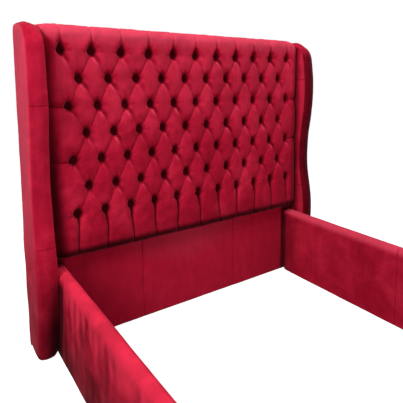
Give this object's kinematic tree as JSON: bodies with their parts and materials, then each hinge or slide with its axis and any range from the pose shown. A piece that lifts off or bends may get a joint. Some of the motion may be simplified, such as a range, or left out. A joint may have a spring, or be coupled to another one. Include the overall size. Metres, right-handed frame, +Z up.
{
  "type": "upholstered bed frame",
  "caption": "Velvet wing bed with a deep diamond-buttoned headboard, serpentine wings and a padded surround open to the floor.",
  "frame": {"origin": "on the floor, in the middle of the bed's width and length", "axes": "+X across the bed, +Y towards the headboard, +Z up"},
  "size_m": [1.6558, 2.072, 1.523],
  "materials": {
    "velvet": "crimson velvet with a soft sheen",
    "covered_buttons": "buttons covered in the same velvet",
    "back_cloth": "black woven dust cloth",
    "twine": "waxed twine",
    "glide_plastic": "black moulded plastic",
    "plated_steel": "zinc plated",
    "face_board": "plain board",
    "toggle_wood": "turned softwood",
    "core_board": "plain board",
    "frame_timber": "planed softwood"
  },
  "bodies": {
    "root": {"back_cloth": "back_cloth", "bottom_cross_rail": "frame_timber", "bracket_bolts": "plated_steel", "button_twines": "twine", "buttoned_pad": "velvet", "corner_brackets": "plated_steel", "foot_rail_core": "core_board", "foot_rail_cover": "velvet", "foot_rail_glides": "glide_plastic", "frame_studs": "frame_timber", "left_post": "frame_timber", "left_rail_core": "core_board", "left_rail_cover": "velvet", "left_rail_glides": "glide_plastic", "left_wing_core": "core_board", "left_wing_cover": "velvet", "left_wing_glides": "glide_plastic", "lower_face_board": "face_board", "middle_cross_rail": "frame_timber", "plain_panel_pad": "velvet", "post_glides": "glide_plastic", "rail_bolts": "plated_steel", "rail_nuts": "plated_steel", "right_post": "frame_timber", "right_rail_core": "core_board", "right_rail_cover": "velvet", "right_rail_glides": "glide_plastic", "right_wing_core": "core_board", "right_wing_cover": "velvet", "right_wing_glides": "glide_plastic", "top_cross_rail": "frame_timber", "tuft_buttons": "covered_buttons", "twine_toggles": "toggle_wood", "upper_face_board": "face_board", "wing_bolts": "plated_steel"}
  },
  "joints": []
}
